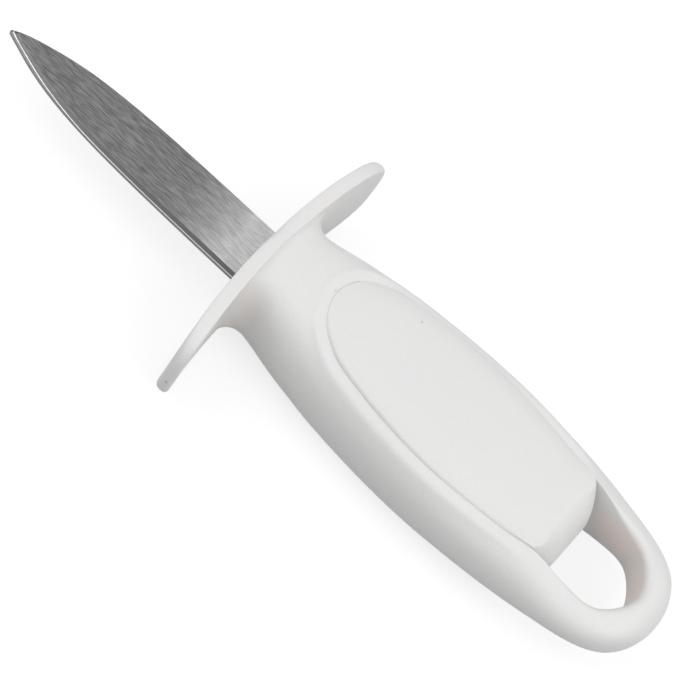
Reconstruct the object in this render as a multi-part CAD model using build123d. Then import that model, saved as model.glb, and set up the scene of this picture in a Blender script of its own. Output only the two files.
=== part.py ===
"""Oyster knife: a short stiff blade, and a moulded handle with a hand guard and a hanging loop.

Millimetres. X runs along the knife, with the blade's tip at +X and the hanging loop at -X.
Y runs across the blade's width, and Z is up, square to the flat of the blade.
The origin is the middle of the knife's overall box.
"""

import math
import os

from build123d import *

# Overall sizes
tip_reach = 65.3        # guard's middle plane to the blade's tip
handle_reach = 100.2    # guard's middle plane to the end of the hanging loop
guard_x = (handle_reach - tip_reach) / 2

# Blade: one piece of sheet with its cutting edge at +Y, and a hidden tang
blade_thickness = 1.8
blade_width = 14.0
blade_places_share = (0.23, 0.46, 0.65, 0.80, 0.90, 0.96)
blade_widths_share = (0.988, 0.951, 0.848, 0.640, 0.385, 0.178)
blade_tip_slope_share = 0.5
tip_nose_length = 0.3
tip_nose_width = 0.7
bevel_width = 1.0
bevel_depth = 0.55
bevel_tip_length = 1.5
blade_seat_depth = 7.0
tang_width = 9.0
tang_reach = 64.0
tang_corner_radius = 2.0
lock_hole_diameter = 4.6
lock_hole_count = 3
lock_hole_pitch = 15.0
last_lock_hole_reach = 58.0

# Hand guard: a bowed oval plate with a rounded rim
guard_width = 64.4
guard_height = 24.2
guard_thickness = 2.8
guard_fullness = 0.92
guard_bow = 3.2
guard_rim_radius = 1.2

# Grip: its outer form from the guard to the loop
grip_width = 35.0
grip_depth = 23.6
grip_fullness = 0.75
grip_places_share = (0.080, 0.150, 0.240, 0.340, 0.450, 0.560, 0.660, 0.750)
grip_widths_share = (0.655, 0.765, 0.865, 0.938, 0.985, 0.998, 0.973, 0.924)
grip_depths_share = (0.950, 0.968, 0.990, 1.000, 0.980, 0.915, 0.835, 0.735)
neck_width = 19.6
neck_depth = 22.0
neck_fillet = 5.0
neck_fillet_angles = (0, 35, 65, 90)
neck_fillet_depth_share = 0.16
loop_bend_length = 17.4
loop_bend_width = 30.8
loop_bend_depth = 13.4
loop_end_depth = 10.0
loop_bend_angles = (0, 28, 50, 66, 78, 86)

# Opening through the grip: the core fills its front, and its rear is the hanging gap
opening_front_reach = 14.5
opening_rear_reach = 93.2
opening_width = 26.8
opening_places_share = (0.020, 0.097, 0.200, 0.310, 0.432, 0.587, 0.742, 0.855, 0.945)
opening_widths_share = (0.390, 0.735, 0.885, 0.968, 1.000, 0.930, 0.800, 0.720, 0.570)

# Core: the raised middle of the handle, moulded round the tang
core_front_depth = 22.8
core_rear_depth = 17.0
core_crown_width = 62.0
core_fullness = 0.56
core_end_reach = 78.0
core_end_round = 6.5
core_end_width = 20.0
core_flare_length = 17.0
core_flare_power = 1.6
core_plain_steps_share = (0.22, 0.41, 0.58, 0.74, 0.88)
core_flare_steps_share = (1.0, 0.86, 0.74, 0.63, 0.53, 0.44, 0.36, 0.29, 0.22, 0.16,
                          0.11, 0.07, 0.04, 0.018, 0.005)

overrun = 6.0


def behind_guard(reach):
    """X of a place that lies a given distance behind the guard's middle plane."""
    return guard_x - reach


def between(start, end, share):
    """The value that lies a given share of the way from start to end."""
    return start + (end - start) * share


def oval(width, depth, fullness):
    """A closed oval of four curves about the origin; a fullness of 0.55 makes an ellipse."""
    half_width, half_depth = width / 2, depth / 2
    quarters = []
    for across, up in ((1, 1), (-1, 1), (-1, -1), (1, -1)):
        side = (across * half_width, 0)
        side_handle = (across * half_width, up * half_depth * fullness)
        top_handle = (across * half_width * fullness, up * half_depth)
        top = (0, up * half_depth)
        points = (side, side_handle, top_handle, top)
        if across * up < 0:
            points = tuple(reversed(points))
        quarters.append(Bezier(*points))
    return make_face(Wire(quarters))


def across_knife(profile, reach):
    """Stand a flat profile across the knife, its first axis along Y and its second up."""
    place = Plane(origin=(behind_guard(reach), 0, 0), x_dir=(0, 1, 0), z_dir=(1, 0, 0))
    return place * profile


def blade_layer(inset):
    """The blade's plan outline, with its cutting edge at +Y drawn in by an inset."""
    half_width = blade_width / 2
    root_x = behind_guard(blade_seat_depth)
    tip_x = behind_guard(-tip_reach) - bevel_tip_length * inset / bevel_width
    nose_x = tip_x - tip_nose_length
    sides = [(behind_guard(-tip_reach * place), -half_width * width)
             for place, width in zip(blade_places_share, blade_widths_share)]
    back = [(root_x, -half_width)] + sides + [(nose_x, -(inset + tip_nose_width) / 2)]
    cutting = [(x, -inset - y) for x, y in back]
    back_edge = Spline(*back, tangents=[(1, 0), (1, blade_tip_slope_share)])
    cutting_edge = Spline(*cutting, tangents=[(1, 0), (1, -blade_tip_slope_share)])
    nose = ThreePointArc(back[-1], (tip_x, -inset / 2), cutting[-1])
    root = Line(cutting[0], back[0])
    return make_face(Wire([back_edge, nose, cutting_edge, root]))


def blade_tang():
    """The tang that both mouldings grip, with holes that the plastic fills."""
    start = behind_guard(blade_seat_depth)
    end = behind_guard(tang_reach)
    strip = Pos((start + end) / 2, 0) * Rectangle(start - end, tang_width)
    rear_corners = strip.vertices().group_by(Axis.X)[0]
    strip = fillet(rear_corners, tang_corner_radius)
    for hole in range(lock_hole_count):
        x = behind_guard(last_lock_hole_reach - hole * lock_hole_pitch)
        strip -= Pos(x, 0) * Circle(lock_hole_diameter / 2)
    return extrude(strip, blade_thickness / 2, both=True)


def blade():
    """The whole blade: a plain middle layer, and a bevelled layer on each face."""
    bevel_start = blade_thickness / 2 - bevel_depth
    middle = extrude(blade_layer(0), bevel_start, both=True)
    upper = loft([Pos(0, 0, bevel_start) * blade_layer(0),
                  Pos(0, 0, blade_thickness / 2) * blade_layer(bevel_width)], ruled=True)
    lower = mirror(upper, Plane.XY)
    return middle + upper + lower + blade_tang()


def guard():
    """The hand guard: an oval seen along the knife, bowed back at both ends."""
    blank = extrude(across_knife(oval(guard_width, guard_height, guard_fullness), 0),
                    guard_bow + guard_thickness, both=True)
    half_width = guard_width / 2
    ends = []
    for face in (guard_thickness / 2, -guard_thickness / 2):
        middle_x = guard_x + face
        ends.append(((middle_x - guard_bow, -half_width), (middle_x, 0),
                     (middle_x - guard_bow, half_width)))
    front, back = ends
    outline = [ThreePointArc(*front), Line(front[-1], back[-1]),
               ThreePointArc(*back), Line(back[0], front[0])]
    bowed = extrude(make_face(Wire(outline)), guard_height, both=True)
    plate = blank & bowed
    rims = [edge for edge in plate.edges() if edge.length > guard_height]
    return fillet(rims, guard_rim_radius)


def grip_sections():
    """Sections of the grip from the guard's rear face to the end of the loop."""
    sections = [(0, neck_width + 2 * neck_fillet,
                 neck_depth + 2 * neck_fillet * neck_fillet_depth_share)]
    guard_back = guard_thickness / 2
    first_reach = handle_reach * grip_places_share[0]
    first_width = grip_width * grip_widths_share[0]
    first_depth = grip_depth * grip_depths_share[0]
    for angle in neck_fillet_angles:
        turn = math.radians(angle)
        reach = guard_back + neck_fillet * (1 - math.cos(turn))
        flare = neck_fillet * (1 - math.sin(turn)) * 2
        share = (reach - guard_back) / (first_reach - guard_back)
        width = between(neck_width, first_width, share) + flare
        depth = between(neck_depth, first_depth, share) + flare * neck_fillet_depth_share
        sections.append((reach, width, depth))
    for place, width, depth in zip(grip_places_share, grip_widths_share, grip_depths_share):
        sections.append((handle_reach * place, grip_width * width, grip_depth * depth))
    for angle in loop_bend_angles:
        turn = math.radians(angle)
        reach = handle_reach - loop_bend_length * (1 - math.sin(turn))
        width = loop_bend_width * math.cos(turn)
        to_end = handle_reach - reach
        depth = between(loop_end_depth, loop_bend_depth, to_end / loop_bend_length)
        end_radius = loop_end_depth / 2
        if to_end < end_radius:
            depth *= math.sqrt(1 - (1 - to_end / end_radius) ** 2)
        sections.append((reach, width, depth))
    return sections


def grip_form():
    """The grip's outer form, without the opening."""
    faces = [across_knife(oval(width, depth, grip_fullness), reach)
             for reach, width, depth in grip_sections()]
    end = Vertex(behind_guard(handle_reach), 0, 0)
    return loft(faces + [end])


def opening_outline():
    """Plan outline of the opening through the grip, the same on both sides."""
    length = opening_rear_reach - opening_front_reach
    sides = [(behind_guard(opening_front_reach + length * place), -opening_width / 2 * width)
             for place, width in zip(opening_places_share, opening_widths_share)]
    front = (behind_guard(opening_front_reach), 0)
    rear = (behind_guard(opening_rear_reach), 0)
    one_side = Spline(rear, *reversed(sides), front, tangents=[(0, -1), (0, 1)])
    other_side = mirror(one_side, Plane.XZ).edge()
    return make_face(Wire([one_side, other_side]))


def opening():
    """The opening as a solid that runs past both faces of the grip."""
    return extrude(Pos(0, 0, -grip_depth) * opening_outline(), grip_depth * 2)


def core_section(reach):
    """One section of the core's crowned form, which is rounded down at its rear end."""
    to_end = core_end_reach - reach
    flare = min(to_end / core_flare_length, 1) ** core_flare_power
    width = between(core_end_width, core_crown_width, flare)
    rise = math.sin(math.pi / 2 * to_end / core_end_reach)
    depth = between(core_rear_depth, core_front_depth, rise)
    if to_end < core_end_round:
        depth *= math.sqrt(1 - (1 - to_end / core_end_round) ** 2)
    return across_knife(oval(width, depth, core_fullness), reach)


def core():
    """The raised core, which fills the front of the opening."""
    front = opening_front_reach - overrun
    flare_start = core_end_reach - core_flare_length
    reaches = [front]
    reaches += [between(front, flare_start, step) for step in core_plain_steps_share]
    reaches += [core_end_reach - core_flare_length * step for step in core_flare_steps_share]
    crowned = loft([core_section(reach) for reach in reaches], ruled=True)
    return (crowned & opening()) - blade_tang()


def grip():
    """The outer moulding: neck, hand guard, side strips and hanging loop in one piece."""
    return (grip_form() + guard()) - opening() - blade()


pieces = {
    "blade": blade(),
    "handle_core": core(),
    "handle_grip": grip(),
}
os.makedirs("parts", exist_ok=True)
for name, piece in pieces.items():
    print(f"{name}: {len(piece.solids())} solid, {piece.volume:.0f} cubic mm, valid {piece.is_valid}")
    export_step(piece, f"parts/{name}.step")
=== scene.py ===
# %% [markdown]
# # An oyster knife
# The knife is a short stiff blade in a moulded handle, with an oval hand guard and a hanging loop.
# The construction model is loaded as a fixed frame, and each piece is dressed around it.
# Lengths are in metres, X runs along the knife to its tip, Y runs to the cutting edge, and Z is up.

import bmesh
import bpy
import numpy as np
from mathutils import Matrix, Vector


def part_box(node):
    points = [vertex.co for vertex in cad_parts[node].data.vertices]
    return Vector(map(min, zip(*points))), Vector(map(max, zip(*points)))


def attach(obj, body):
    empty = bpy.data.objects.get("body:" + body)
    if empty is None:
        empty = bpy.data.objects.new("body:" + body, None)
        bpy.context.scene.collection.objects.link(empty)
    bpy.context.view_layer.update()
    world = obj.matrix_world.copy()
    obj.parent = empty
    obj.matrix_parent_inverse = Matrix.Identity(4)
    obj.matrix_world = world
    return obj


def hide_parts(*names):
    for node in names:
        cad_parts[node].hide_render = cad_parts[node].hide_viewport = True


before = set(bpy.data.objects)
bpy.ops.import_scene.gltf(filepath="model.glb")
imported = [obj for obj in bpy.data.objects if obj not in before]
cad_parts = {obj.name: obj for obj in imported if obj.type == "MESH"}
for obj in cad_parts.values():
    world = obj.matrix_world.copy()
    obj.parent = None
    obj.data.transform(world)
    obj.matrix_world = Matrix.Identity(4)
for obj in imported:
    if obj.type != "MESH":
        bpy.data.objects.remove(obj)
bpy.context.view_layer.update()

mm = 0.001
grip_low, grip_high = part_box("handle_grip")
print("nodes:", sorted(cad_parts), "grip from", grip_low[:], "to", grip_high[:])

# %% [markdown]
# ## Smooth curves through stations
# A moulded handle has no straight run, so its width and depth are given at a few stations.
# A spline object could join them, but a short Hermite formula gives the value at any place.

# %% A smooth curve through stations
def through(places, values, at):
    """Read a smooth curve through stations at any places between them."""
    places, values = np.asarray(places, float), np.asarray(values, float)
    at = np.clip(at, places[0], places[-1])
    slopes = np.gradient(values, places)
    left = np.clip(np.searchsorted(places, at) - 1, 0, len(places) - 2)
    step = places[left + 1] - places[left]
    u = (at - places[left]) / step
    start, end = values[left], values[left + 1]
    lean = (1 - u) * step * slopes[left] - u * step * slopes[left + 1]
    blend = u * u * (3 - 2 * u)
    return start + (end - start) * blend + u * (1 - u) * lean


def fade(start, end, at):
    """A smooth step from 0 at start to 1 at end."""
    u = np.clip((at - start) / (end - start), 0, 1)
    return u * u * (3 - 2 * u)


# %% [markdown]
# ## The grip's outer form
# Seen along the knife, the handle is a soft oval, fuller than an ellipse.
# Each quarter of it is one Bezier curve, as in the construction model, so both agree.
# The depth of the oval above a place across it comes from a table of that curve.

# %% Widths and depths along the grip
guard_thickness = 2.8 * mm
guard_x = grip_high.x - guard_thickness / 2
handle_reach = guard_x - grip_low.x
grip_fullness = 0.75
width_reaches = np.array((0, 8.0, 15.0, 24.1, 34.1, 45.1, 56.1, 66.1, 75.2, 84, 92.6, 100.2)) * mm
half_widths = np.array((9.8, 11.46, 13.39, 15.14, 16.4, 17.24, 17.47, 17.03, 16.2, 15.4, 14.65, 14)) * mm
depth_reaches = np.array((0, 8.0, 15.0, 24.1, 34.1, 45.1, 56.1, 66.1, 75.2, 82.8, 100.2)) * mm
half_depths = np.array((11, 11.21, 11.42, 11.68, 11.8, 11.57, 10.8, 9.85, 8.68, 6.7, 5.0)) * mm
loop_bend_start = 66.0 * mm
loop_bend_power = 5.6
loop_end_round = 5.0 * mm

turn_samples, turn_bunching = 3001, 1.5
quarter_turns = np.linspace(0, 1, turn_samples) ** turn_bunching
least_width = 1e-9


def quarter(fullness, t):
    """Across and up on a quarter of the unit oval, from its side at 0 to its top at 1."""
    s = 1 - t
    across = s ** 3 + 3 * s * s * t + 3 * s * t * t * fullness
    up = 3 * s * s * t * fullness + 3 * s * t * t + t ** 3
    return across, up


def half_width(reach):
    """Half the grip's width at a reach behind the guard."""
    q = np.clip((reach - loop_bend_start) / (handle_reach - loop_bend_start), 0, 1)
    return through(width_reaches, half_widths, reach) * np.sqrt(1 - q ** loop_bend_power)


def half_depth(reach):
    """Half the grip's depth at a reach behind the guard."""
    to_end = np.clip((handle_reach - reach) / loop_end_round, 0, 1)
    return through(depth_reaches, half_depths, reach) * np.sqrt(1 - (1 - to_end) ** 2)


def grip_turn(reach, y):
    """How far round the quarter oval a place in plan lies, from 0 at the side to 1 at the top."""
    across, _ = quarter(grip_fullness, quarter_turns)
    share = np.clip(np.abs(y) / np.maximum(half_width(reach), least_width), 0, 1)
    return np.interp(share, across[::-1], quarter_turns[::-1])


def grip_height(reach, y):
    """Height of the grip's outer surface over a place in plan."""
    return half_depth(reach) * quarter(grip_fullness, grip_turn(reach, y))[1]


print("grip is", round(2000 * float(half_width(50 * mm)), 2), "mm wide at its middle")

# %% [markdown]
# ## The opening's outline
# The raised core fills the front of a long opening in the grip, and the rear is the hanging gap.
# The outline is a closed curve through a few points, the same on both sides.
# Both mouldings follow it, so it is worked out once, as close points and their run along it.
# Past each end the curve goes on as its own mirror image, so it crosses the middle square.

# %% Outline of the opening, from its front to its rear
opening_reaches = np.array((14.5, 16.07, 22.1, 30.2, 38.9, 48.5, 60.7, 72.9, 81.8, 89.1, 93.7)) * mm
opening_halves = np.array((0, 5.23, 9.85, 11.86, 12.97, 13.4, 12.46, 10.72, 9.75, 7.95, 0)) * mm
outline_samples = 4001
run_on = 3


def opening_outline():
    """Close points of the outline on the +Y side: their run along it, reach and side."""
    before, after = slice(run_on, 0, -1), slice(-2, -2 - run_on, -1)
    reaches = np.concatenate((opening_reaches[before], opening_reaches, opening_reaches[after]))
    sides = np.concatenate((-opening_halves[before], opening_halves, -opening_halves[after]))
    chords = np.hypot(np.diff(reaches), np.diff(sides))
    run = np.concatenate(([0], np.cumsum(chords)))
    fine = np.linspace(run[run_on], run[-1 - run_on], outline_samples)
    reach, side = through(run, reaches, fine), through(run, sides, fine)
    length = np.concatenate(([0], np.cumsum(np.hypot(np.diff(reach), np.diff(side)))))
    return length, reach, side


outline_length, outline_reach, outline_side = opening_outline()
print("the opening's outline is", round(2000 * outline_length[-1], 1), "mm round")

# %% [markdown]
# ## Meshes from grids
# Every surface here is a grid of points worked out by formula, which bmesh turns into quads.
# A subdivision cage would need its creases set by hand, and a grid follows the formula exactly.
# The knife is the same on both sides and both faces, so one quarter is made and mirrored.
# Welding the shared points then makes one closed skin, ready for the slicer or the renderer.

# %% Turn grids of points into one closed mesh
weld_distance = 0.002 * mm


def add_grid(skin, grid):
    """Add a grid of points to a mesh as quads."""
    corners = [[skin.verts.new(point) for point in row] for row in grid]
    for row, next_row in zip(corners, corners[1:]):
        for a, b, c, d in zip(row, row[1:], next_row[1:], next_row):
            skin.faces.new((a, b, c, d))


def closed_piece(name, quarter_grids):
    """Mirror a quarter to both sides and both faces, weld it, and link it as one piece."""
    skin = bmesh.new()
    for grid in quarter_grids:
        for side in (1, -1):
            for face in (1, -1):
                add_grid(skin, grid * (1, side, face))
    bmesh.ops.remove_doubles(skin, verts=skin.verts, dist=weld_distance)
    bmesh.ops.dissolve_degenerate(skin, dist=weld_distance / 2, edges=skin.edges)
    bmesh.ops.recalc_face_normals(skin, faces=skin.faces)
    open_edges = sum(len(edge.link_faces) != 2 for edge in skin.edges)
    mesh = bpy.data.meshes.new(name)
    skin.to_mesh(mesh)
    skin.free()
    mesh.shade_smooth()
    piece = bpy.data.objects.new(name, mesh)
    bpy.context.scene.collection.objects.link(piece)
    print(name, len(mesh.polygons), "faces,", open_edges, "open edges")
    return piece


def points(reach, y, z):
    """Stack reach behind the guard, side and height into points of the knife's frame."""
    reach, y, z = np.broadcast_arrays(reach, y, z)
    return np.stack((guard_x - reach, y, z), axis=-1)


# %% [markdown]
# ## The strips and the hanging loop
# Beside the core the outer moulding is a narrow strip, and behind it the strips join in a loop.
# A boolean cut would leave long thin faces along the rim, which shade badly on a soft form.
# So rows of points leave the opening's outline and run out over the strip to the silhouette.
# Along the core each row first makes a shallow channel and a low lip, then the strip's round.

# %% Profile of the strip beside the opening
channel_depth = 0.80 * mm
channel_width = 1.25 * mm
lip_height = 0.26 * mm
lip_place = 2.3 * mm
lip_width = 0.65 * mm
crevice_round = 0.1 * mm
loop_edge_round = 1.9 * mm
groove_end_start, groove_end = 66.0 * mm, 75.0 * mm
front_groove = 0.5
front_groove_reach, full_groove_reach = 14.6 * mm, 18.0 * mm
least_groove = 0.05
loop_start, loop_full = 74.0 * mm, 88.0 * mm
band_width = 3.4 * mm


def groove_strength(reach):
    """The groove is faint at its front arc, full beside the panel, and dies out at the tongue."""
    opening_up = front_groove + (1 - front_groove) * fade(front_groove_reach, full_groove_reach, reach)
    return opening_up * (1 - fade(groove_end_start, groove_end, reach))


def strip_relief(distance, reach):
    """Height that the channel and the lip add at a distance outside the opening."""
    channel = -channel_depth * np.exp(-(distance / channel_width) ** 2)
    lip = lip_height * np.exp(-((distance - lip_place) / lip_width) ** 2)
    return (channel + lip) * groove_strength(reach)


# %% [markdown]
# ## Rows from the opening to the silhouette
# Each row of the strip starts on the opening's edge and ends on the handle's silhouette.
# Even steps along both curves would skew the rows, so two marks on each curve are paired.
# At the front the rows end on a ring round the neck, where the guard's surface takes over.

# %% Where each row starts on the outline and ends on the silhouette
neck_reach = 9.0 * mm
front_rows = 40
strip_rows = 150
front_length = 9.5 * mm
silhouette_samples = 4001
outline_marks = np.array((24, 80)) * mm
silhouette_marks = np.array((23, 81)) * mm

along = np.concatenate((np.linspace(0, front_length, front_rows + 1),
                        np.linspace(front_length, outline_length[-1], strip_rows + 1)[1:]))
row_reach = np.interp(along, outline_length, outline_reach)
row_side = np.interp(along, outline_length, outline_side)
row_side[[0, -1]] = 0
tangent_reach = np.interp(along, outline_length, np.gradient(outline_reach, outline_length))
tangent_side = np.interp(along, outline_length, np.gradient(outline_side, outline_length))
out_reach, out_side = -tangent_side, tangent_reach
out_reach[[0, -1]], out_side[[0, -1]] = (-1, 1), 0

from_end = (handle_reach - neck_reach) * np.linspace(1, 0, silhouette_samples) ** 2
silhouette_reach = handle_reach - from_end
silhouette_side = half_width(silhouette_reach)
silhouette_length = np.concatenate(
    ([0], np.cumsum(np.hypot(np.diff(silhouette_reach), np.diff(silhouette_side)))))
paired_outline = np.interp(outline_marks, outline_reach, outline_length)
paired_silhouette = np.interp(silhouette_marks, silhouette_reach, silhouette_length)
end_length = np.interp(
    along[front_rows:],
    (front_length, *paired_outline, outline_length[-1]),
    (0, *paired_silhouette, silhouette_length[-1]))
front_turns = np.linspace(1, 0, front_rows + 1)
front_across, front_up = quarter(grip_fullness, front_turns)
end_reach = np.concatenate((np.full(front_rows, neck_reach),
                            np.interp(end_length, silhouette_length, silhouette_reach)))
end_side = np.concatenate((front_across[:-1] * half_width(neck_reach),
                           np.interp(end_length, silhouette_length, silhouette_side)))
end_turn = np.concatenate((front_turns, np.zeros(strip_rows)))
print("rows across the strips and the loop:", len(along))

# %% The strip and loop surface, a quarter of it
wall_steps = np.linspace(0, 1, 6)[:-1]
round_turns = np.radians(np.linspace(0, 90, 8))
band_steps = np.linspace(0, 1, 14)[1:]
flank_steps = np.linspace(0, 1, 22)[1:]
bend_start, bend_full = 76.0 * mm, 86.0 * mm


def strip_quarter():
    """Grid from the middle of the opening's wall, over the strip, to the silhouette."""
    crevice = crevice_round * np.maximum(groove_strength(row_reach), least_groove)
    edge_round = crevice + (loop_edge_round - crevice) * fade(loop_start, loop_full, row_reach)
    edge_round = edge_round[:, None]
    start_reach, start_side = row_reach[:, None], row_side[:, None]
    toward_reach, toward_side = out_reach[:, None], out_side[:, None]

    round_distance = edge_round * (1 - np.cos(round_turns))
    band_distance = edge_round + (band_width - edge_round) * band_steps
    distance = np.hstack((round_distance, band_distance))
    drop = np.hstack((edge_round * (1 - np.sin(round_turns)), np.zeros_like(band_distance)))
    reach = start_reach + toward_reach * distance
    side = start_side + toward_side * distance
    height = grip_height(reach, side) + strip_relief(distance, start_reach) - drop

    wall_height = height[:, :1] * wall_steps
    band_reach, band_side = reach[:, -1:], side[:, -1:]
    last_reach, last_side = end_reach[:, None], end_side[:, None]
    turns = grip_turn(band_reach, band_side)
    turns = turns + (end_turn[:, None] - turns) * flank_steps
    round_reach = band_reach + (last_reach - band_reach) * flank_steps
    round_side = half_width(round_reach) * quarter(grip_fullness, turns)[0]
    bend = fade(bend_start, bend_full, start_reach)
    bend_steps = np.sin(np.pi / 2 * flank_steps)
    bend_reach = band_reach + (last_reach - band_reach) * bend_steps
    bend_side = band_side + (last_side - band_side) * bend_steps
    flank_reach = round_reach + bend * (bend_reach - round_reach)
    flank_side = round_side + bend * (bend_side - round_side)
    flank_height = half_depth(round_reach) * quarter(grip_fullness, turns)[1]
    flank_height = np.where(bend > 0, grip_height(flank_reach, flank_side), flank_height)
    from_band = np.hypot(flank_reach - band_reach, flank_side - band_side)
    flank_height[:, :-1] += strip_relief(band_width + from_band, start_reach)[:, :-1]
    flank_height[front_rows:, -1] = 0
    return np.concatenate((
        points(start_reach, start_side, wall_height),
        points(reach, side, height),
        points(flank_reach, flank_side, flank_height)), axis=1)


# %% [markdown]
# ## The neck and the hand guard
# The guard is an oval plate, bowed back at both ends, that keeps the hand off the blade.
# It is moulded in one with the neck, and a large fillet carries the load at its sides.
# A bevelled disc would need a second mesh and a seam at the fillet, which is the part that shows.
# So rings of points run on from the strips, down the neck, through the fillet, out over the
# back of the plate, round its rim and in again over its front face.

# %% Neck, fillet and guard plate, a quarter of them
guard_half_width = grip_high.y
guard_half_height = grip_high.z
guard_fullness = 0.92
guard_bow = 3.2 * mm
guard_rim_round = 1.2 * mm
neck_fillet = 5.0 * mm
fillet_share = 0.28
back_rim_share = 0.6
neck_steps = np.linspace(0, 1, 9)[:-1]
fillet_turns = np.radians(np.linspace(90, 0, 12))
plate_steps = np.linspace(0, 1, 14)[1:]
rim_turns = np.radians(np.linspace(0, 90, 8))
front_steps = np.linspace(1, 0, 14)[1:]


def bow(y):
    """How far the guard is bowed back at a place across it."""
    return guard_bow * (y / guard_half_width) ** 2


def neck_at(reach):
    """Side and height of the neck's oval at a reach, for each row of points."""
    return half_width(reach) * front_across[:, None], half_depth(reach) * front_up[:, None]


def guard_quarter():
    """Grid from the strips down the neck and over the guard to the middle of its front."""
    rim_across, rim_up = quarter(guard_fullness, front_turns)
    rim_side = (guard_half_width * rim_across)[:, None]
    rim_up = (guard_half_height * rim_up)[:, None]
    base_side, base_up = neck_at(np.full((len(front_turns), 1), guard_thickness / 2))
    room = np.hypot(rim_side - base_side, rim_up - base_up)
    out_y, out_z = (rim_side - base_side) / room, (rim_up - base_up) / room
    fillet = np.minimum(neck_fillet, fillet_share * room)
    back_rim = np.minimum(guard_rim_round, back_rim_share * room)

    back_face = guard_thickness / 2 + bow(base_side)
    fillet_out = fillet * (1 - np.sin(fillet_turns))
    fillet_back = fillet * (1 - np.cos(fillet_turns))
    fillet_side, fillet_up = neck_at(back_face + fillet_back)
    fillet_side, fillet_up = fillet_side + out_y * fillet_out, fillet_up + out_z * fillet_out
    fillet_reach = guard_thickness / 2 + bow(fillet_side) + fillet_back
    down_neck = neck_reach + (fillet_reach[:, :1] - neck_reach) * neck_steps
    neck_side, neck_up = neck_at(down_neck)

    last_side, last_up = fillet_side[:, -1:], fillet_up[:, -1:]
    back_side, back_up = rim_side - out_y * back_rim, rim_up - out_z * back_rim
    plate_side = last_side + (back_side - last_side) * plate_steps
    plate_up = last_up + (back_up - last_up) * plate_steps
    plate_reach = guard_thickness / 2 + bow(plate_side)

    rim_in = back_rim * (1 - np.sin(rim_turns))
    back_rim_side, back_rim_up = rim_side - out_y * rim_in, rim_up - out_z * rim_in
    back_rim_reach = guard_thickness / 2 - back_rim * (1 - np.cos(rim_turns)) + bow(back_rim_side)
    front_in = guard_rim_round * (1 - np.cos(rim_turns))
    front_rim_side, front_rim_up = rim_side - out_y * front_in, rim_up - out_z * front_in
    front_rim_reach = -guard_thickness / 2 + guard_rim_round * (1 - np.sin(rim_turns))
    front_rim_reach = front_rim_reach + bow(front_rim_side)

    face_side = front_rim_side[:, -1:] * front_steps
    face_up = front_rim_up[:, -1:] * front_steps
    face_reach = -guard_thickness / 2 + bow(face_side)
    return np.concatenate((
        points(down_neck, neck_side, neck_up), points(fillet_reach, fillet_side, fillet_up),
        points(plate_reach, plate_side, plate_up),
        points(back_rim_reach, back_rim_side, back_rim_up),
        points(front_rim_reach, front_rim_side, front_rim_up),
        points(face_reach, face_side, face_up)), axis=1)


white_grip = closed_piece("white_grip", (strip_quarter(), guard_quarter()))
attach(white_grip, "root")
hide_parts("handle_grip")

# %% [markdown]
# ## The raised core
# The core is the first moulding, shot round the blade's tang, and stands a little proud.
# It shows as a gently crowned panel with a soft shoulder, and ends in a pillow-shaped tongue.
# A subdivided box could be pushed into this shape, but rows of points from a middle line out
# to the outline give an even crown and a shoulder that follows the opening exactly.

# %% Height of the core's crowned form
core_end_reach = 78.0 * mm
core_half_depths = (9.0 * mm, 11.5 * mm)
core_crown_half_width = 31.0 * mm
core_corner_radius = 6.1 * mm
core_end_round = 6.0 * mm
core_edge_round = 0.5 * mm
core_clearance = 0.01 * mm
shoulder_width = 4.5 * mm
shoulder_drop = 0.7 * mm


def core_height(reach, y):
    """Height of the core's crown over a place in plan, before its edge is rounded."""
    rise = np.sin(np.pi / 2 * (core_end_reach - reach) / core_end_reach)
    depth = core_half_depths[0] + (core_half_depths[1] - core_half_depths[0]) * rise
    return depth * np.sqrt(1 - (y / core_crown_half_width) ** 2)


# %% [markdown]
# ## The core's edge
# The core fills the opening up to the hanging gap, where it ends in two round corners.
# A rectangle with bevelled corners would not follow the opening, so the edge is worked out:
# it is the opening's outline, a hair inside it, until a corner's arc can leave it smoothly.

# %% The core's outline, with rounded corners at its rear end
core_rows = 160
corner_rows = 26
core_end_rows = 14
core_row_bunching = 1.2


def core_outline():
    """Reach and side of the core's edge, from the middle of its front to that of its rear."""
    lean_reach = np.gradient(outline_reach, outline_length)
    lean_side = np.gradient(outline_side, outline_length)
    leaves = np.interp(core_end_reach, outline_reach + core_corner_radius * (1 + lean_side),
                       outline_length)
    run = np.linspace(0, 1, core_rows + 1) ** core_row_bunching * leaves
    lean_reach = np.interp(run, outline_length, lean_reach)
    lean_side = np.interp(run, outline_length, lean_side)
    reach = np.interp(run, outline_length, outline_reach) + lean_side * -core_clearance
    side = np.interp(run, outline_length, outline_side) - lean_reach * core_clearance
    side[0] = 0

    radius = core_corner_radius - core_clearance
    middle_reach = reach[-1] + lean_side[-1] * radius
    middle_side = side[-1] - lean_reach[-1] * radius
    turns = np.linspace(np.arctan2(lean_reach[-1], -lean_side[-1]), 0, corner_rows + 1)[1:]
    corner_reach = middle_reach + radius * np.cos(turns)
    corner_side = middle_side + radius * np.sin(turns)
    end_side = middle_side * np.linspace(1, 0, core_end_rows + 1)[1:]
    reach = np.concatenate((reach, corner_reach, np.full(core_end_rows, corner_reach[-1])))
    side = np.concatenate((side, corner_side, end_side))
    return reach[:, None], side[:, None]


core_edge_reach, core_edge_side = core_outline()
print("the core is", round(2000 * core_edge_side.max(), 2), "mm wide")

# %% How far the core's surface lies inside its edge
edge_samples = 6001


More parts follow.
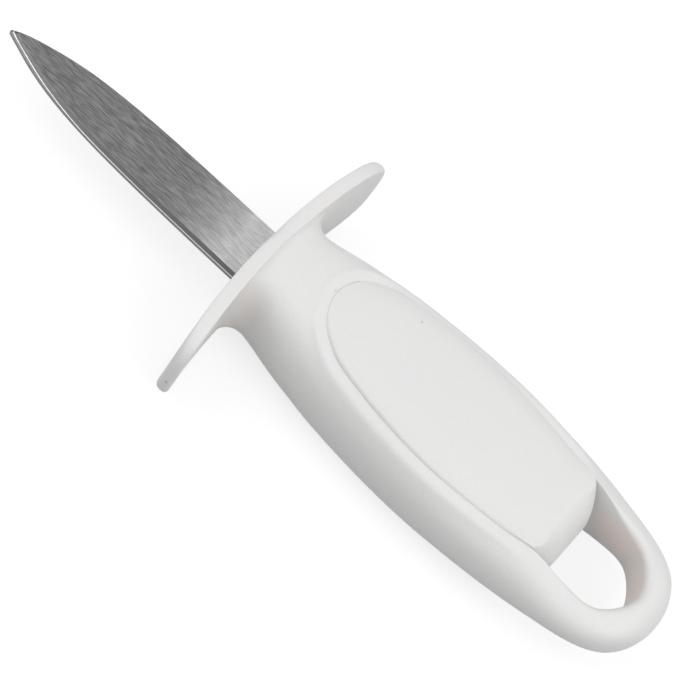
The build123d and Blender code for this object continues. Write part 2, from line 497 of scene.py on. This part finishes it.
def inside_edge(reach, y):
    """Distance to the nearest place on the core's edge, and how far that place faces rearward."""
    run = np.concatenate(([0], np.cumsum(np.hypot(np.diff(core_edge_reach[:, 0]),
                                                  np.diff(core_edge_side[:, 0])))))
    fine = np.linspace(0, run[-1], edge_samples)
    edge_reach = np.interp(fine, run, core_edge_reach[:, 0])
    edge_side = np.interp(fine, run, core_edge_side[:, 0])
    rearward = -np.gradient(edge_side, fine)
    distance, facing = np.empty_like(y), np.empty_like(y)
    for row, (line_reach, line_side) in enumerate(zip(reach, y)):
        away = np.hypot(line_reach[:, None] - edge_reach, line_side[:, None] - edge_side)
        nearest = away.argmin(axis=1)
        distance[row] = away[np.arange(len(nearest)), nearest]
        facing[row] = rearward[nearest]
    return distance, facing


# %% The core's surface, a quarter of it
core_steps = 1 - np.linspace(1, 0, 40) ** 2
spine_reaches = (23.0 * mm, 71.5 * mm)
side_facing = 0.18


def core_quarter():
    """Grid from the core's middle line over its shoulder, down to the middle of its depth."""
    spine = np.clip(core_edge_reach, *spine_reaches)
    reach = spine + (core_edge_reach - spine) * core_steps
    y = core_edge_side * core_steps
    inside, facing = inside_edge(reach, y)
    inside[:, -1] = 0
    tongue = np.clip((facing - side_facing) / (1 - side_facing), 0, 1)
    strength = groove_strength(core_edge_reach)
    near_edge = 1 - np.clip(inside / shoulder_width, 0, 1)
    shoulder = shoulder_drop * strength * (1 - tongue) * near_edge ** 2
    side_round = core_edge_round * np.maximum(strength, least_groove)
    edge_round = side_round + (core_end_round - side_round) * tongue
    top = core_height(reach, y) - shoulder
    fall = edge_round + (top - edge_round) * tongue
    height = top - fall * (1 - np.sqrt(1 - (1 - np.clip(inside / edge_round, 0, 1)) ** 2))
    wall_height = height[:, -1:] * wall_steps[::-1]
    return np.concatenate((
        points(reach, y, height), points(core_edge_reach, core_edge_side, wall_height)), axis=1)


white_core = closed_piece("white_core", (core_quarter(),))
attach(white_core, "root")
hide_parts("handle_core")

# %% [markdown]
# ## Shader maths in Python
# A node tree is usually drawn by hand in the shader editor, and is hard to read as a script.
# A finish is mostly sums on noise, so one small class lets Python's operators add Math nodes.
# Any other node comes from one method, which takes its type, its settings and its sockets.

# %% A socket that takes part in sums
class Socket:
    """One output of a shader node, on which Python's operators add Math nodes."""

    def __init__(self, tree, output=None):
        self.tree = tree
        self.output = output

    def node(self, kind, settings=(), inputs=(), output=0):
        """Add a node: its settings come first, then the values or links of its sockets."""
        made = self.tree.nodes.new(kind)
        for name, value in dict(settings).items():
            setattr(made, name, value)
        for name, value in dict(inputs).items():
            if isinstance(value, Socket):
                self.tree.links.new(value.output, made.inputs[name])
            else:
                made.inputs[name].default_value = value
        return Socket(self.tree, made.outputs[output] if made.outputs else None)

    def maths(self, operation, first, second):
        """Add one Math node."""
        return self.node("ShaderNodeMath", {"operation": operation}, {0: first, 1: second})

    def __add__(self, other):
        return self.maths("ADD", self, other)

    def __radd__(self, other):
        return self.maths("ADD", other, self)

    def __sub__(self, other):
        return self.maths("SUBTRACT", self, other)

    def __rsub__(self, other):
        return self.maths("SUBTRACT", other, self)

    def __mul__(self, other):
        return self.maths("MULTIPLY", self, other)

    def __rmul__(self, other):
        return self.maths("MULTIPLY", other, self)

    def clamp(self):
        """Keep the value between 0 and 1."""
        return self.node("ShaderNodeClamp", (), {"Value": self})

    def mix(self, start, end):
        """Mix two colours by this value."""
        return self.node("ShaderNodeMix", {"data_type": "RGBA"}, {0: self, 6: start, 7: end}, 2)


def new_material(name):
    """An empty material, and a socket that starts its nodes."""
    material = bpy.data.materials.new(name)
    material.use_nodes = True
    material.node_tree.nodes.clear()
    return material, Socket(material.node_tree)


def stretched_noise(start, stretch, detail):
    """Noise on the knife's own coordinates, with so many cells a metre along each axis."""
    place = start.node("ShaderNodeTexCoord", output="Object")
    scaled = start.node("ShaderNodeMapping", (), {"Vector": place, "Scale": stretch})
    return start.node("ShaderNodeTexNoise", (), {"Vector": scaled, "Scale": 1, "Detail": detail})


# %% [markdown]
# ## Satin white plastic
# Both mouldings are white, with the soft sheen that a lightly textured mould leaves.
# A painted texture would need an image and an unwrapped mesh, so noise makes the finish here:
# the colour wanders a very little and a fine grain breaks up the highlight.
# The hole of the loop and the neck's fillet get painted shade: a warm ivory tint, placed by
# formula where shade falls. A few tiny specks keep it from looking like plain paint.

# %% The plastic finish
speck_colour = (0.36, 0.31, 0.24, 1)
grain_colour = (0.74, 0.74, 0.73, 1)
# The ivory colour is painted warm shade for the loop's hole and the neck's fillet.
painted_shade_ivory = (0.84, 0.775, 0.735, 1)
tone_cells = (45, 60, 60)
grain_cells = (3200, 3200, 3200)
soft_detail = 2
grain_start, grain_steepness, grain_share = 0.42, 3, 0.55
speck_edge = 1.5
grain_bump, grain_depth = 0.2, 0.03 * mm
plastic_roughness, tone_roughness, grain_roughness = 0.36, 0.12, 0.08
plastic_specular = 0.42


def satin_plastic(name, pale, shade, specks):
    """White moulded plastic, with its two tones and the places of a few small specks."""
    material, start = new_material(name)
    tone = stretched_noise(start, tone_cells, soft_detail)
    grain = stretched_noise(start, grain_cells, soft_detail)
    speckle = ((grain - grain_start) * grain_steepness).clamp() * grain_share
    colour = speckle.mix(tone.mix(shade, pale), grain_colour)
    place = start.node("ShaderNodeTexCoord", output="Object")
    for spot, radius, strength in specks:
        spot = [length * mm for length in spot]
        away = start.node("ShaderNodeVectorMath", {"operation": "DISTANCE"}, {0: place, 1: spot}, 1)
        mask = (speck_edge - away * (1 / radius)).clamp() * strength
        colour = mask.mix(colour, speck_colour)
    return material, start, colour, grain, tone


def finish_plastic(material, start, colour, grain, tone):
    """Join the plastic's colour to its sheen and its fine grain."""
    bump = start.node("ShaderNodeBump", (), {
        "Strength": grain_bump, "Distance": grain_depth, "Height": grain})
    roughness = plastic_roughness + tone_roughness * tone + grain_roughness * grain
    surface = start.node("ShaderNodeBsdfPrincipled", (), {
        "Base Color": colour, "Roughness": roughness,
        "Normal": bump, "Specular IOR Level": plastic_specular})
    start.node("ShaderNodeOutputMaterial", (), {"Surface": surface})
    return material


def own_place(start):
    """The knife's X, Y and Z as three sockets, in metres."""
    place = start.node("ShaderNodeTexCoord", output="Object")
    return [start.node("ShaderNodeSeparateXYZ", (), {"Vector": place}, axis) for axis in range(3)]


# %% The two mouldings' plastic
# The hole and fillet masks below place the painted warm shade.
loop_middle_x = guard_x - 83.5 * mm
hole_half_length, hole_half_width = 10.5 * mm, 10.8 * mm
hole_tint_top, hole_tint_fade = 5.0 * mm, 1.6 * mm
hole_tint_reach, hole_tint_steepness = 1.25, 3.5
fillet_x, fillet_y = guard_x - 4.5 * mm, 12.0 * mm
fillet_reach_x, fillet_reach_y = 5.0 * mm, 0.5
painted_fillet_shade_strength = 0.6
grip_specks = [((3.36, 0.46, 10.77), 0.32 * mm, 0.45),
               ((14.16, 32.16, -1.91), 0.28 * mm, 0.8),
               ((-63.88, -9.83, 2.89), 0.22 * mm, 0.9)]
core_specks = [((-12.15, -7.92, 10.68), 0.22 * mm, 0.55)]
plain_white = (0.82, 0.82, 0.815, 1)
second_white = (0.79, 0.79, 0.785, 1)


def grip_plastic():
    """The outer moulding's plastic, with warm shade painted into the loop's hole and the neck's fillet.
    """
    material, start, colour, grain, tone = satin_plastic(
        "satin_grip_white", plain_white, second_white, grip_specks)
    x, y, z = own_place(start)
    lengthwise = (x - loop_middle_x) * (1 / hole_half_length)
    crosswise = y * (1 / hole_half_width)
    from_hole = lengthwise * lengthwise + crosswise * crosswise
    below_top = ((hole_tint_top - start.maths("ABSOLUTE", z, 0)) * (1 / hole_tint_fade)).clamp()
    painted_shade_in_hole = ((hole_tint_reach - from_hole) * hole_tint_steepness).clamp() * below_top
    lengthwise = (x - fillet_x) * (1 / fillet_reach_x)
    crosswise = (y * y * (1 / fillet_y ** 2) - 1) * (1 / fillet_reach_y)
    painted_shade_in_fillet = (1 - lengthwise * lengthwise - crosswise * crosswise).clamp() * painted_fillet_shade_strength
    # Painted shade: the hole and the fillet are tinted ivory where warm shade falls.
    colour = painted_shade_in_hole.mix(colour, painted_shade_ivory)
    colour = painted_shade_in_fillet.mix(colour, painted_shade_ivory)
    return finish_plastic(material, start, colour, grain, tone)


white_grip.data.materials.append(grip_plastic())
white_core.data.materials.append(finish_plastic(*satin_plastic(
    "satin_core_white", plain_white, second_white, core_specks)))
print("specks in the plastic:", len(grip_specks) + len(core_specks))

# %% [markdown]
# ## Brushed steel
# The blade is stamped from stainless sheet and brushed along its length.
# Noise that is long along the blade and very fine across it gives the scratches, and it
# drives the colour, the roughness and a faint bump, so that they agree.
# An anisotropic shader would smear the highlight too, but it could not show the single hairs.
# Next to the guard the face is painted lighter, a painted reflection.
# On the ground bevel, shade and a highlight are painted: a dark band, a thin bright line, and
# the dark cutting edge outside it. All are placed by height, since only the bevel and the sheet's
# edges lie below the blade's faces.

# %% The steel finish
hair_cells, fine_cells, broad_cells = (420, 7500, 7500), (160, 5200, 5200), (22, 500, 500)
hair_share, fine_share, broad_share, scratch_floor = 3.2, 1.4, 0.25, 2.0
# The second colour of each pair is the steel painted lighter near the guard, a painted reflection.
dark_steel, dark_steel_painted_light = (0.21, 0.21, 0.215, 1), (0.68, 0.68, 0.68, 1)
light_steel, light_steel_painted_light = (0.45, 0.45, 0.45, 1), (1.0, 1.0, 1.0, 1)
# Painted shade and a painted highlight for the bevel: a dark band, a bright line and a dark edge.
painted_dark_bevel_steel, painted_highlight_steel, painted_dark_edge_steel = (0.15, 0.15, 0.15, 1), (0.75, 0.75, 0.75, 1), (0.20, 0.20, 0.20, 1)
scratch_bump, scratch_depth = 0.4, 0.01 * mm
steel_roughness, scratch_roughness = 0.30, 0.16
reflection_fade_x = 42 * mm
reflection_fade_length = 18 * mm
ground_top, ground_edge = 0.89 * mm, 0.02 * mm
bevel_top, bevel_tip_rise = 0.46 * mm, 0.16 * mm
bevel_wide_x, bevel_widening = 60 * mm, 16 * mm
bevel_line_height = 0.035 * mm


def brushed_steel(name):
    """Stainless steel, brushed along X."""
    material, start = new_material(name)
    hair = stretched_noise(start, hair_cells, soft_detail)
    fine = stretched_noise(start, fine_cells, soft_detail)
    broad = stretched_noise(start, broad_cells, soft_detail)
    scratches = (hair_share * hair + fine_share * fine + broad_share * broad - scratch_floor).clamp()
    x, _, z = own_place(start)
    # Painted reflection: the steel's colour is painted lighter towards the guard.
    painted_reflection = ((reflection_fade_x - x) * (1 / reflection_fade_length)).clamp()
    painted_reflection = painted_reflection * painted_reflection
    colour = scratches.mix(painted_reflection.mix(dark_steel, dark_steel_painted_light), painted_reflection.mix(light_steel, light_steel_painted_light))
    # Painted shade and highlight on the bevel: a dark band, a bright line, a dark cutting edge.
    at_tip = ((x - bevel_wide_x) * (1 / bevel_widening)).clamp()
    from_middle = start.maths("ABSOLUTE", z, 0)
    painted_dark_bevel = ((ground_top - from_middle) * (1 / ground_edge)).clamp()
    colour = painted_dark_bevel.mix(colour, painted_dark_bevel_steel)
    below_top = bevel_top + at_tip * bevel_tip_rise - from_middle
    painted_highlight_line = (below_top * (1 / bevel_line_height)).clamp()
    painted_dark_edge = ((below_top - 2 * bevel_line_height) * (1 / bevel_line_height)).clamp()
    colour = painted_highlight_line.mix(colour, painted_highlight_steel)
    colour = painted_dark_edge.mix(colour, painted_dark_edge_steel)
    bump = start.node("ShaderNodeBump", (), {
        "Strength": scratch_bump, "Distance": scratch_depth, "Height": scratches})
    roughness = steel_roughness + scratch_roughness * scratches
    surface = start.node("ShaderNodeBsdfPrincipled", (), {
        "Base Color": colour, "Metallic": 1.0, "Roughness": roughness, "Normal": bump})
    start.node("ShaderNodeOutputMaterial", (), {"Surface": surface})
    return material


steel = brushed_steel("brushed_blade_steel")
blade_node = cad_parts["blade"]
for material_slot in blade_node.material_slots:
    material_slot.material = steel
print("steel on", len(blade_node.material_slots), "slot of the blade")

# %% [markdown]
# ## Camera
# The photograph looks down on the knife from beside its cutting edge, from far away.
# Aiming it at a point would fix only two of its angles, and the third shows in the photograph,
# so its own right and up directions are given, as found from the knife's outline.

# %% The camera at the photograph's viewing angle
camera_place = Vector((-0.03596, 0.32930, 0.47860))
camera_right = Vector((-0.7310, -0.5848, 0.3516))
camera_up = Vector((0.6800, -0.5815, 0.4465))
camera_lens, camera_sensor = 163.9, 36
camera_clip = 0.01

camera_back = camera_right.cross(camera_up).normalized()
camera_right = camera_up.cross(camera_back).normalized()
camera_up = camera_back.cross(camera_right)
camera = bpy.data.objects.new("camera", bpy.data.cameras.new("camera"))
turn = Matrix((camera_right, camera_up, camera_back)).transposed().to_4x4()
camera.matrix_world = Matrix.Translation(camera_place) @ turn
camera.data.lens = camera_lens
camera.data.sensor_width = camera_sensor
camera.data.clip_start = camera_clip
bpy.context.scene.collection.objects.link(camera)
bpy.context.scene.camera = camera
print("camera", round(camera_place.length, 3), "m from the knife's middle")

# %% [markdown]
# ## The floor
# The knife lies on its guard's rim and on the roundest part of its handle.
# Moving the knife is no choice, since the frame is fixed, so the pale floor is tilted a little
# to touch both: the second foot is where a line from the rim just grazes the handle.
# Light Path lifts the floor to white where it is seen, and its shadow stays.

# %% Floor
floor_size = 4.0
floor_white = 0.32
floor_lift = 0.75
floor_gap = 0.05 * mm
guard_foot = Vector((guard_x, 0, grip_low.z))
belly_reaches = np.linspace(10, 60, 501) * mm
belly_rise = (guard_half_height - half_depth(belly_reaches)) / belly_reaches
belly_reach = float(belly_reaches[belly_rise.argmin()])
belly_foot = Vector((guard_x - belly_reach, 0, -float(half_depth(belly_reach))))
print("the handle rests", round(1000 * belly_reach, 1), "mm behind the guard")


def pale_floor():
    """A pale floor under the knife's two feet."""
    lean = (guard_foot - belly_foot).normalized()
    across = Vector((0, 1, 0))
    up = lean.cross(across)
    skin = bmesh.new()
    reach = floor_size / 2
    corners = [guard_foot + lean * (x * reach) + across * (y * reach) - up * floor_gap
               for x, y in ((-1, -1), (1, -1), (1, 1), (-1, 1))]
    skin.faces.new([skin.verts.new(corner) for corner in corners])
    mesh = bpy.data.meshes.new("floor")
    skin.to_mesh(mesh)
    skin.free()
    floor = bpy.data.objects.new("floor", mesh)
    bpy.context.scene.collection.objects.link(floor)
    material, start = new_material("pale_floor")
    rays = [start.node("ShaderNodeLightPath", output=name)
            for name in ("Is Camera Ray", "Is Glossy Ray", "Is Transmission Ray")]
    seen = (rays[0] + rays[1] + rays[2]).clamp()
    matt = start.node("ShaderNodeBsdfDiffuse", (), {"Color": (floor_white, floor_white, floor_white, 1)})
    lift = start.node("ShaderNodeEmission", (), {"Strength": seen * floor_lift})
    both = start.node("ShaderNodeAddShader", (), {0: matt, 1: lift})
    start.node("ShaderNodeOutputMaterial", (), {"Surface": both})
    mesh.materials.append(material)
    return floor


pale_floor()

# %% [markdown]
# ## The light
# A photographer lights a white handle evenly and keeps lamps out of the blade's mirror direction.
# So two soft lamps stand beyond the knife's two ends, a weaker one stands behind its back, and
# the world fills the shade. One lamp overhead would be simpler, but the steel would flare.

# %% Lamps and world
studio_lamps = (
    ("handle_lamp", (-0.75, 0.34, 0.95), 0.9, 4.6),
    ("tip_lamp", (0.75, 0.34, 0.95), 0.9, 4.0),
    ("back_lamp", (-0.66, -0.50, 0.88), 0.7, 1.4))
world_grey = 0.57


def soft_lamp(name, place, size, power):
    """A square area lamp at a place, turned to the knife's middle."""
    lamp = bpy.data.objects.new(name, bpy.data.lights.new(name, "AREA"))
    lamp.data.size = size
    lamp.data.energy = power
    lamp.location = place
    lamp.rotation_euler = (-Vector(place)).to_track_quat("-Z", "Y").to_euler()
    bpy.context.scene.collection.objects.link(lamp)


for name, place, size, power in studio_lamps:
    soft_lamp(name, place, size, power)
    print(name, power, "W")

world = bpy.data.worlds.new("studio")
bpy.context.scene.world = world
world.use_nodes = True
background = world.node_tree.nodes["Background"]
background.inputs["Color"].default_value = (world_grey, world_grey, world_grey, 1)

# %% [markdown]
# ## Colours as written
# The Standard view shows a colour about as it is written, which a filmic view would soften.

# %% Colour management, and the end
bpy.context.scene.view_settings.view_transform = "Standard"
